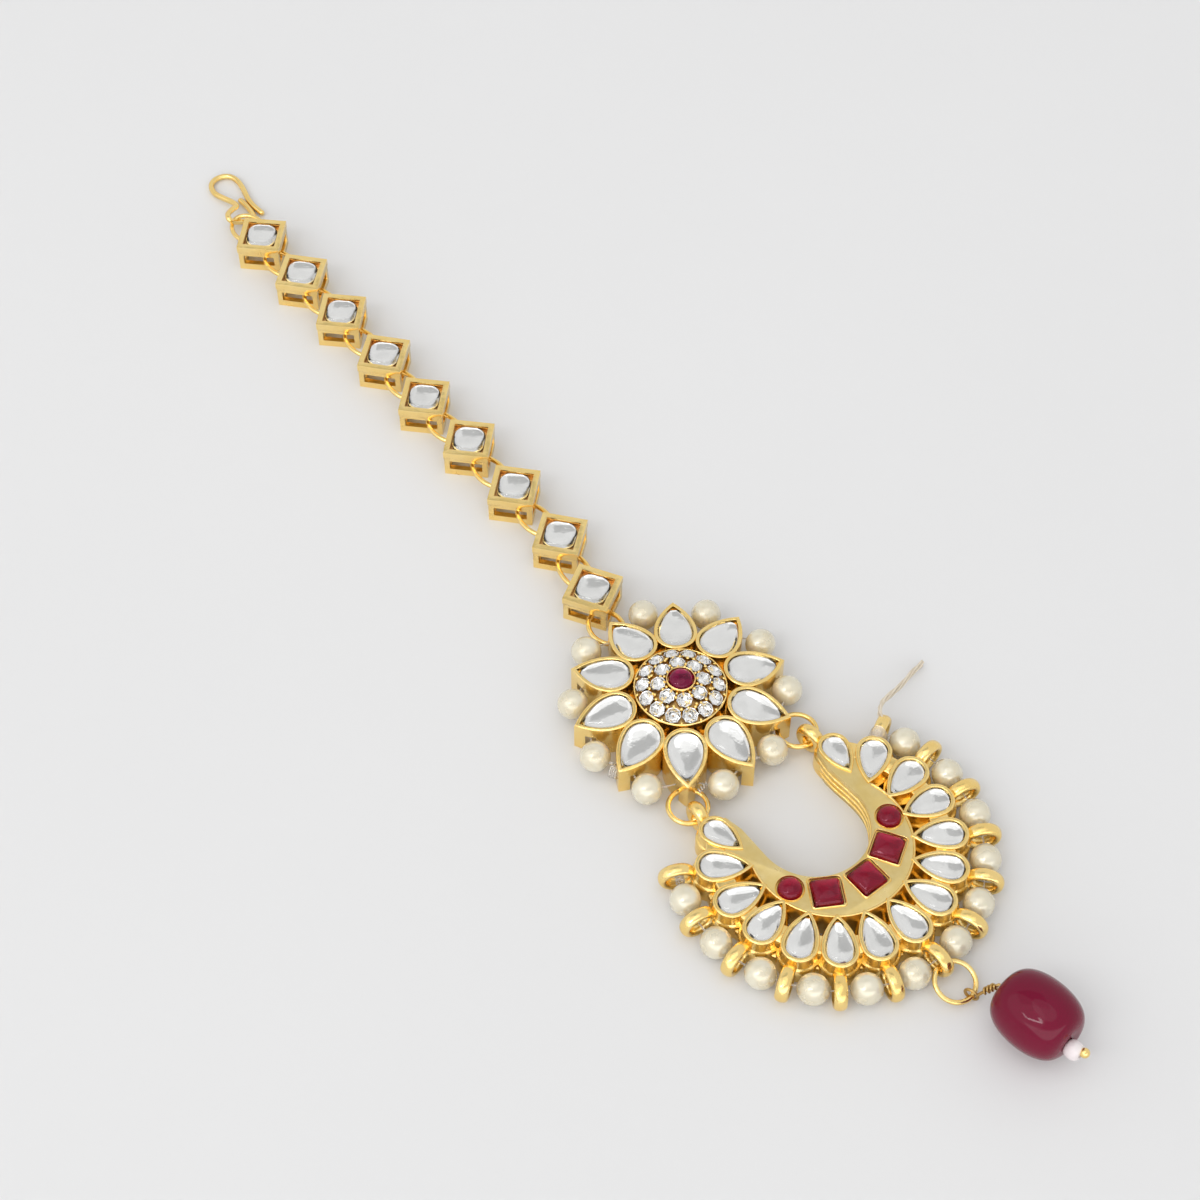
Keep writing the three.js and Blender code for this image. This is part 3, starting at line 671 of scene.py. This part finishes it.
CRYSTALS = [(14, 4.2, 5.42, 0.5, 90.0), (8, 2.54, 6.08, 0.25, 14.0)]
crystals, cups, prongs = [], [], []
for count, distance, height, lean, start in CRYSTALS:
    for i in range(count):
        turn = start + i * 360 / count
        crystals.append(leaning(brilliant(0.8, 0.32, pavilion=0.44), lean, distance, height, turn))
        cone = loft([at_height(circle_outline(r, 8), z)
                     for r, z in ((0.1, -0.6), (0.9, -0.1), (0.9, 0.0), (0.84, -0.02), (0.03, -0.5))])
        cups.append(leaning(cone, lean, distance, height, turn))
for distance, height, count, start, size in (
        (4.86, 5.0, 14, 102.9, 0.17), (3.5, 5.72, 14, 102.9, 0.2), (3.42, 5.78, 14, 90, 0.16),
        (3.3, 5.86, 8, 36.5, 0.18), (1.86, 6.25, 16, 14, 0.16), (2.3, 6.12, 8, 36.5, 0.19)):
    for i in range(count):
        a = math.radians(start + 360 * i / count)
        prongs.append(moved(prong(size), distance * math.cos(a), distance * math.sin(a), height))
dome_wall = lathe([(4.9, 1.0), (5.2, 1.0), (5.2, 4.9), (5.16, 5.04), (5.07, 5.1), (4.97, 5.04),
                   (4.93, 4.9), (4.9, 4.6)])
dome_bed = lathe([(4.95, 4.4), (4.95, 4.72), (4.6, 4.78), (4.0, 5.0), (3.2, 5.35), (2.4, 5.6),
                  (1.6, 5.72), (1.5, 5.6)])
ruby_seat = lathe([(1.62, 5.6), (1.64, 6.5), (1.6, 6.62), (1.52, 6.66), (1.44, 6.6), (1.38, 6.4),
                   (1.36, 6.0)], 48)
base_disc = lathe([(7.2, 0.0), (7.2, 2.15), (7.05, 2.3), (3.0, 2.3)])
flower_parts = [round_flower(petal_cup, i) for i in range(PETALS)] + [dome_wall, base_disc, ruby_seat]
piece("flower_cast", merged(flower_parts), GOLD, ["flower_setting"])
piece("dome_bed_metal", dome_bed, DARK_GOLD)
piece("flower_prongs", merged(prongs), GOLD)
piece("crystal_cups", merged(cups), FOIL)
piece("crystals", merged(crystals), CRYSTAL, sharp=8)
piece("flower_ruby_glass", dome(circle_outline(1.33, 40), 6.12, 0.3, 0.74, rows=10), RUBY,
      ["flower_ruby"])
piece("flower_ruby_foil", foil_cup(circle_outline(1.33, 40), 6.12, 0.2), RUBY_FOIL)
piece("flower_ring_wire", turned(oval_wire(1.93, 2.45, RING_WIRE), -8, 0.36, 13.38, 1.45), GOLD,
      ["flower_ring"])
print("crystals:", len(crystals), "prongs:", len(prongs))

# %% [markdown]
# Ten pearls sit between the petals on one clear thread. A pearl isn't a perfect ball: it is a
# little flatter along its hole, and its skin has a shallow dimple where the thread goes in.

# %% Pearls on threads
PEARL_RADIUS = 1.74
PEARL_SEATS = [
    (12.35, 20.2), (12.2, 54), (12.0, 89), (11.98, 122.6), (11.9, 162.4),
    (11.95, 196.8), (12.2, 236.8), (11.95, 270.4), (11.85, 306.2), (12.3, 341.2),
]
PEARL_HEIGHT = 2.4


def pearl(radius, turn):
    """Pearl with its hole along Y before it is turned."""
    rings = []
    rows = 18
    for i in range(1, rows):
        a = -math.pi / 2 + math.pi * i / rows
        outline = circle_outline(radius * math.cos(a), 32)
        along = radius * 0.97 * math.sin(a)
        rings.append(np.c_[outline[:, 0], np.full(32, along), outline[:, 1]])
    points, faces = loft(rings)
    points[-2:] = [[0, -radius * 0.93, 0], [0, radius * 0.93, 0]]
    return turned((points, faces), turn)


line, pearls = [], []
for i, (distance, angle) in enumerate(PEARL_SEATS):
    hole, seat = math.radians(90 - 36 * i), math.radians(90 - angle)
    line.append((10.74 * math.cos(hole), 10.74 * math.sin(hole), 2.34))
    x, y = distance * math.cos(seat), distance * math.sin(seat)
    line.append((x, y, PEARL_HEIGHT))
    pearls.append(moved(pearl(PEARL_RADIUS, 90 - angle), x, y, PEARL_HEIGHT))
piece("flower_pearl_string", merged(pearls), PEARL, ["flower_pearls"])


def strands(points, count=2, spread=0.1, radius=0.07, closed=False, steps=5, twist=0.8):
    """Fine strands that wander round a line."""
    out = []
    row = smooth_line(points, steps, closed)
    for s in range(count):
        phase = 2 * math.pi * s / count
        a = phase + np.arange(len(row)) * twist
        offset = np.c_[np.cos(a) * 0.4, np.sin(a) * 0.4, np.sin(a + 1)] * spread
        out.append(tube(row + offset, radius, 6, closed))
    return merged(out)


piece("flower_thread", strands(line, closed=True), NYLON)
print("flower pearls:", len(pearls))

# %% [markdown]
# The crescent is one casting. Fifteen drop-shaped cups stand in a fan round a smooth inner band,
# with small windows pierced between them, and a lower lip follows the cups round the outside.
# Everything is placed by a distance and an angle from the middle of the fan.

# %% Crescent fan
FAN = (0.1, -24.6)
FAN_DISTANCE = 11.7
FAN_ANGLES = [0, 18.9, 37.7, 56.6, 76, 95, 115.2, 134.6]
FAN_TURNS = [0, 19.5, 37.5, 56, 77, 101, 129, 168]
FAN_RADIUS = 1.5
FAN_LENGTH = 5.2
FAN_END_SHARE = 0.88
FAN_BEZEL = 0.5
FAN_RIM = 3.75
FAN_FLOOR = 2.95
BAND_HEIGHT = 3.55
BAND_OUTER = 8.9
BAY_RADIUS = 6.35
BAY_RISE = 2.9


def fan_point(distance, angle):
    a = math.radians(angle)
    return FAN[0] + distance * math.sin(a), FAN[1] - distance * math.cos(a)


def both_sides(values):
    return [(side, i) for i in range(len(values)) for side in ((1,) if i == 0 else (-1, 1))]


def seated(part, side, index):
    """The part, made with its point on +X, turned so that it points at the bay."""
    share = FAN_END_SHARE if index == len(FAN_ANGLES) - 1 else 1
    part = part[0] * [share, share, 1] + [FAN_LENGTH / 2 - FAN_TIP * share, 0, 0], part[1]
    x, y = fan_point(FAN_DISTANCE, side * FAN_ANGLES[index])
    return turned(part, side * FAN_TURNS[index] + 90, x, y)


FAN_TIP = FAN_LENGTH - FAN_RADIUS


def fan_outline(share, extra=0.0):
    grow = FAN_BEZEL * (1 - share) + extra
    return drop_outline(FAN_RADIUS + grow, FAN_TIP + grow * 1.15, sides=10, cap=22)


fan_cup = bezel(fan_outline, FAN_RIM, FAN_FLOOR, foot=(fan_outline(0, 0.34), 2.15))
fan_glass = dome(drop_outline(FAN_RADIUS - 0.05, FAN_TIP - 0.12, sides=10, cap=22, blunt=0.06),
                 FAN_FLOOR + 0.1, 0.35, 0.75, rows=9, flat=0.08)
fan_foil = foil_cup(drop_outline(FAN_RADIUS - 0.05, FAN_TIP - 0.12, sides=10, cap=22, blunt=0.06),
                    FAN_FLOOR + 0.1, 0.25)
seats = both_sides(FAN_ANGLES)
cups = [seated(fan_cup, side, i) for side, i in seats]
piece("crescent_glass", merged([seated(fan_glass, side, i) for side, i in seats]), STONE)
piece("crescent_foils", merged([seated(fan_foil, side, i) for side, i in seats]), FOIL)
print("crescent stones:", len(seats))

# %% [markdown]
# The band between the fan and the bay is a smooth plate with five ruby seats. Its inner wall is
# ribbed: three shallow grooves run along it. The plate is extruded from its outline and cut for
# the stones, and the ribs are thin raised bars laid along the wall.

# %% Crescent band


def band_outline():
    points = [fan_point(BAND_OUTER, a) for a in range(-112, 113, 4)]
    points += [fan_point(11.2, 124), (FAN[0] + 7.6, FAN[1] + 9.4), (FAN[0] + 6.6, FAN[1] + 9.4)]
    points += [(FAN[0] + 6.2, FAN[1] + 7.2)]
    bay = [(FAN[0] + BAY_RADIUS * math.cos(math.radians(a)),
            FAN[1] + BAY_RISE - BAY_RADIUS * math.sin(math.radians(a))) for a in range(0, 181, 4)]
    mirror = [(2 * FAN[0] - x, y) for x, y in points[-4:]][::-1]
    return np.array(points + bay + mirror), np.array(bay)


BAND, BAY = band_outline()
RUBIES = [
    ("round", -6.92, -26.05, 0), ("square", -4.22, -28.75, -31), ("square", 0.25, -30.1, 0),
    ("square", 4.42, -28.75, 31), ("round", 7.12, -26.05, 0),
]


def ruby_outline(kind, grow):
    return circle_outline(1.42 + grow, 36) if kind == "round" else square_outline(1.68 + grow, 0.32, 5)


band = plate(BAND, 0, BAND_HEIGHT)
sockets = [turned(loft([at_height(ruby_outline(kind, 0.03), z) for z in (2.7, 6)]), turn, x, y)
           for kind, x, y, turn in RUBIES]
cup_space = [seated(plate(fan_outline(0.4), 0.3, 9), side, i) for side, i in seats if i >= 6]
band = cut(band, sockets + cup_space, edge=0.12, segments=3)
collars = []
for kind, x, y, turn in RUBIES:
    wide = 0.2 if kind == "square" else 0.14
    rings = [at_height(ruby_outline(kind, g), z) for g, z in (
        (wide + 0.05, 3.4), (wide, 3.62), (wide - 0.06, 3.7), (wide / 2, 3.72), (0.05, 3.68), (0.03, 3.5))]
    collars.append(turned(loft(rings + [at_height(ruby_outline(kind, 0.03), 3.3)]), turn, x, y))
print("band faces:", len(band[1]))

# %% Crescent rubies
foils = []
for i, (kind, x, y, turn) in enumerate(RUBIES, start=1):
    outline = ruby_outline(kind, -0.07)
    glass = dome(outline, 2.84, 0.66, 0.95, rows=14, rounder=0.85 if kind == "square" else 0.0,
                 lens=12 if kind == "square" else 0)
    piece(f"crescent_ruby_{i}_glass", turned(glass, turn, x, y), RUBY, [f"crescent_ruby_{i}"])
    foils.append(turned(foil_cup(outline, 2.84, 0.08), turn, x, y))
piece("crescent_ruby_foils", merged(foils), RUBY_FOIL)
print("rubies:", len(foils))

# %% [markdown]
# Thirteen fat loops stand round the outside, each a thick oval ring seen edge on, and a rounder
# eye stands on each tip of the crescent. They are tubes round an oval, widened sideways.

# %% Loops and eyes
LOOP_ANGLES = [0, 19.4, 38.5, 57.9, 77.7, 98.0, 118.2]
LOOP_DISTANCE = 16.5
LOOP_HALF = 1.65
LOOP_HIGH = 1.4
LOOP_WIRE = 0.44
LOOP_WIDE = 0.72


def loop(side, index):
    angle = side * LOOP_ANGLES[index]
    points, faces = oval_wire(LOOP_HALF, LOOP_HIGH, LOOP_WIRE, 40, 16)
    points = np.c_[points[:, 0], -points[:, 2] * LOOP_WIDE / LOOP_WIRE, points[:, 1]]
    x, y = fan_point(LOOP_DISTANCE, angle)
    return turned((points, faces), angle - 90, x, y, LOOP_HIGH + LOOP_WIRE)


def eye(side):
    points, faces = oval_wire(1.2, 1.2, 0.62, 40, 16)
    points = np.c_[points[:, 2] * 1.2, points[:, 0], points[:, 1]]
    return turned((points, faces), side * 8, FAN[0] + side * 8.05, -12.6, 1.84)


loops = [loop(side, i) for side, i in both_sides(LOOP_ANGLES)]
eyes = [eye(-1), eye(1)]


def arc_bar(inner, outer, reach, high, edge=0.12):
    angles = np.linspace(-reach, reach, 90)
    rings = []
    for a in angles:
        low, far = fan_point(inner, a), fan_point(outer, a)
        near, away = fan_point(inner + edge, a), fan_point(outer - edge, a)
        rings.append([(*low, 0), (*far, 0), (*far, high - edge), (*away, high), (*near, high),
                      (*low, high - edge)])
    return loft(rings)


every_cup = [seated(plate(fan_outline(0.4), 0.3, 9), side, i) for side, i in seats]
web = cut(arc_bar(11.05, 13.2, 132, 3.5), every_cup, edge=0.0)
lip = arc_bar(12.0, 14.0, 126, 1.5)
border = tube([(*fan_point(BAND_OUTER - 0.1, a), 3.56) for a in np.linspace(-108, 108, 110)], 0.13, 8)
tips = [(FAN[0] + x, FAN[1] + y) for x, y in ((6.68, 9.3), (6.32, 7.9), (6.2, 6.2), (6.3, 4.6))]
wall_line = smooth_line(tips + [tuple(p) for p in BAY] + [(2 * FAN[0] - x, y) for x, y in tips[::-1]], 3)
ribs = [tube([(x, y, height) for x, y in wall_line], 0.19, 8) for height in (0.75, 1.65, 2.55)]
crescent_parts = cups + collars + loops + eyes + ribs + [web, lip, border]
piece("crescent_cast", merged(crescent_parts), GOLD, ["crescent_setting"])
piece("crescent_band", band, BAND_GOLD)
for name, side in (("left", -1), ("right", 1)):
    wire = moved(oval_wire(2.15, 2.15, RING_WIRE), side * 7.85, -10.75, 1.5)
    piece(f"crescent_ring_{name}_wire", wire, GOLD, [f"crescent_ring_{name}"])
print("loops:", len(loops))

# %% Fringe
FRINGE_ANGLES = [10.2, 28.7, 47.8, 67.4, 87.3, 107.9]
height = LOOP_HIGH + LOOP_WIRE
half = [a for pair in zip(FRINGE_ANGLES, LOOP_ANGLES[1:]) for a in pair]
angles = [-a for a in half[::-1]] + [0] + half
line = [(*fan_point(LOOP_DISTANCE, a), height) for a in angles]
fringe = []
for a in angles[1::2]:
    x, y = fan_point(LOOP_DISTANCE, a)
    fringe.append(moved(pearl(PEARL_RADIUS, a - 90 + 90), x, y, height))
piece("fringe_pearl_string", merged(fringe), PEARL, ["crescent_pearls"])
piece("fringe_thread", strands(line), NYLON)
print("fringe pearls:", len(fringe))

# %% [markdown]
# The drop hangs from a large ring: a wine-red pebble bead, a tiny flat pearl and a gold ball on
# one thin pin whose end is twisted round itself above the bead.

# %% Drop
DROP_MIDDLE = np.array([2.58, -52.6, 4.04])
DROP_WAY = np.array([0.0665, -0.9941, 0.0853])
DROP_WAY /= np.linalg.norm(DROP_WAY)


def along(distance):
    return DROP_MIDDLE + DROP_WAY * distance


def turned_bead(profile, centre, sides=48):
    """Bead of revolution about the pin: profile holds (distance along, radius) pairs."""
    side = np.cross(DROP_WAY, [0, 0, 1])
    side /= np.linalg.norm(side)
    up = np.cross(side, DROP_WAY)
    a = np.linspace(0, 2 * math.pi, sides, endpoint=False)
    wheel = side * np.cos(a)[:, None] + up * np.sin(a)[:, None]
    return loft([centre + DROP_WAY * t + wheel * r for t, r in profile], closed=True)


def bead_profile(radius, length, hole, fullness, rows=22):
    a = np.linspace(-math.pi / 2, math.pi / 2, rows + 1)[1:-1]
    out = [(-length / 2 * 0.97, hole)]
    out += [(length / 2 * math.sin(v), max(hole + 0.05, radius * math.cos(v) ** fullness)) for v in a]
    return out + [(length / 2 * 0.97, hole)]


drop_bead = turned_bead(bead_profile(4.0, 8.7, 0.4, 0.5, 30), DROP_MIDDLE, 72)
piece("drop_bead_glass", drop_bead, WINE, ["drop_bead"])
seed_pearl = turned_bead(bead_profile(1.06, 1.8, 0.3, 0.5), along(5.0) + [-0.3, -0.1, -0.4], 32)
piece("seed_pearl_skin", seed_pearl, SEED, ["seed_pearl"])
ring = tilted(oval_wire(2.2, 2.2, 0.28), 15)
piece("drop_ring_wire", moved(ring, 0, -43.95, 1.3), GOLD, ["drop_ring"])

# %% Head pin
PIN = 0.17
a = np.linspace(0, 2 * math.pi, 32, endpoint=False)
turn = math.radians(-72)
EYE = 0.72
eye_row = np.c_[0.47 + EYE * np.cos(a) * math.cos(turn), -45.9 + EYE * np.cos(a) * math.sin(turn),
                0.9 + EYE * np.sin(a)]
shank_points = [(0.66, -46.49, 1.26), (1.2, -46.9, 2.2), (1.95, -47.5, 3.3),
                along(-4.35), along(0), along(5.9)]
shank = smooth_line(shank_points, 8)
wrap_from, wrap_to = np.array(shank_points[1]), np.array(shank_points[2])
wrap = []
axis = (wrap_to - wrap_from) / np.linalg.norm(wrap_to - wrap_from)
side = np.cross(axis, [0, 0, 1.0])
side /= np.linalg.norm(side)
up = np.cross(side, axis)
for t in np.linspace(0, 1, 46):
    b = 2 * math.pi * 3.2 * t
    wrap.append(wrap_from + (wrap_to - wrap_from) * t + (side * math.cos(b) + up * math.sin(b)) * 0.3)
pin = merged([tube(eye_row, PIN, 10, closed=True), tube(shank, PIN, 10), tube(wrap, 0.14, 8)])
piece("head_pin_wire", pin, BRONZE, ["head_pin"])
piece("head_pin_ball", moved(ball(0.54, 24, 14), *along(6.13)), GOLD)
print("drop pieces ready")

# %% [markdown]
# The loose ends show that this is hand-strung: clear thread wound round one petal's leg and
# round the last loops, and a short frayed tail. They are too fine for the solids.

# %% Thread ends
tail = [(15.2, -16.3, 3.0), (15.9, -15.2, 2.9), (17.2, -14.3, 2.5), (19.0, -13.9, 2.1), (21.0, -13.45, 1.5),
        (23.2, -12.8, 1.0), (25.4, -12.3, 0.5)]
piece("frayed_tail", strands(tail, 4, 0.34, 0.12, twist=0.3), COTTON)


def winding(centre, way, across, high, length, turns, wire=0.1):
    """Thread wound round a line through the centre, in an oval of two half sizes."""
    way = np.asarray(way, float) / np.linalg.norm(way)
    side = np.cross(way, [0.0, 0.0, 1.0])
    side /= np.linalg.norm(side)
    row = []
    for t in np.linspace(0, 1, int(turns * 16)):
        b = 2 * math.pi * turns * t
        offset = side * math.cos(b) * across + np.array([0, 0, 1]) * math.sin(b) * high
        row.append(np.asarray(centre) + way * length * (t - 0.5) + offset)
    return tube(row, wire, 8)


def radial(angle):
    a = math.radians(angle)
    return math.sin(a), -math.cos(a), 0


windings = [
    winding((-11.3, -2.4, 1.75), (-0.45, 0.89, 0), 0.6, 1.0, 0.9, 4, 0.08),
    winding((*fan_point(15.35, 118.2), 1.9), radial(118.2), 0.9, 1.85, 1.5, 6, 0.13),
    winding((*fan_point(16.3, -118.2), 1.84), radial(-28.2), 0.42, 0.42, 1.7, 5, 0.11),
    winding((-5.3, -10.2, 2.3), (0.98, 0.2, 0), 0.2, 0.2, 1.6, 4, 0.1),
]
piece("thread_windings", merged(windings), NYLON)
print("thread ends ready")

# %% [markdown]
# A plain pale table and soft studio light. The light comes from all round, as in a white tent:
# brighter low down at the front, softly dimmed behind the middle, and with a thin bright bracket
# that gives the bead and the stones their small curved highlight. Two wide lamps add soft shade.

# %% Floor and light
floor_mesh = bpy.data.meshes.new("floor")
TABLE_HALF, TABLE_TOP = 3, -0.00002
corners = [(x * TABLE_HALF, y * TABLE_HALF, TABLE_TOP) for x, y in ((-1, -1), (1, -1), (1, 1), (-1, 1))]
floor_mesh.from_pydata(corners, [], [(0, 1, 2, 3)])
floor = bpy.data.objects.new("floor", floor_mesh)
bpy.context.collection.objects.link(floor)
floor_look = finish("table", (0.72, 0.72, 0.722), (0.71, 0.71, 0.712), (0.6, 0.7),
                    wave=20.0, grain=300.0, bump=0.0)
floor_mesh.materials.append(floor_look)

world = bpy.data.worlds.new("tent")
bpy.context.scene.world = world
world.use_nodes = True
n, link = world.node_tree.nodes, world.node_tree.links.new
sky = n["Background"]
way = n.new("ShaderNodeTexCoord").outputs["Generated"]
parts = n.new("ShaderNodeSeparateXYZ")
link(way, parts.inputs["Vector"])


def reckon(operation, a, b):
    """Maths node over two values, each a number or a socket."""
    node = n.new("ShaderNodeMath")
    node.operation = operation
    for port, value in zip(node.inputs, (a, b)):
        if isinstance(value, float):
            port.default_value = value
        else:
            link(value, port)
    return node.outputs[0]


def across(direction):
    """How far a ray has gone along a level direction where it meets a ceiling one unit up."""
    node = n.new("ShaderNodeVectorMath")
    node.operation = "DOT_PRODUCT"
    node.inputs[1].default_value = direction
    link(way, node.inputs[0])
    return reckon("DIVIDE", node.outputs["Value"], reckon("MAXIMUM", parts.outputs["Z"], 0.02))


def step(value, low, high):
    node = n.new("ShaderNodeMapRange")
    node.interpolation_type = "SMOOTHSTEP"
    node.inputs["From Min"].default_value = low
    node.inputs["From Max"].default_value = high
    link(value, node.inputs["Value"])
    return node.outputs["Result"]


RIGHT, FORWARD = across((0.779, -0.627, 0)), across((0.6266, 0.7795, 0))
light_now = 0.79


def panel(left, right, near, far, value, soft=0.03):
    """Lights or darkens a rectangle of the ceiling."""
    global light_now
    edges = [step(RIGHT, left - soft, left + soft), step(RIGHT, right + soft, right - soft),
             step(FORWARD, near - soft, near + soft), step(FORWARD, far + soft, far - soft),
             step(parts.outputs["Z"], 0.01, 0.04)]
    mask = edges[0]
    for edge in edges[1:]:
        mask = reckon("MULTIPLY", mask, edge)
    change = n.new("ShaderNodeMix")
    change.data_type = "FLOAT"
    link(mask, change.inputs["Factor"])
    if isinstance(light_now, float):
        change.inputs["A"].default_value = light_now
    else:
        link(light_now, change.inputs["A"])
    change.inputs["B"].default_value = value
    light_now = change.outputs["Result"]


panel(-2.5, 2.5, -9.0, -1.3, 2.1, 0.2)
panel(-0.95, 0.15, 0.06, 0.70, 0.48, 0.04)
panel(-1.30, -0.45, -0.70, -0.60, 10.0, 0.03)
panel(-1.38, -1.24, -0.66, -0.40, 7.0, 0.03)
panel(-0.51, -0.37, -0.66, -0.40, 7.0, 0.03)
link(light_now, sky.inputs["Strength"])
sky.inputs["Color"].default_value = (1.0, 1.0, 1.0, 1)


def lamp(name, at, size, power):
    """Round soft lamp that shines at the middle of the jewel."""
    data = bpy.data.lights.new(name, "AREA")
    data.shape = "DISK"
    data.size = size
    data.energy = power
    made = bpy.data.objects.new(name, data)
    made.location = Vector(at)
    made.rotation_euler = (-Vector(at)).to_track_quat("-Z", "Y").to_euler()
    bpy.context.collection.objects.link(made)


lamp("top_lamp", (-0.04, -0.08, 0.7), 0.6, 0.5)
lamp("side_lamp", (-0.38, 0.12, 0.42), 0.8, 0.6)
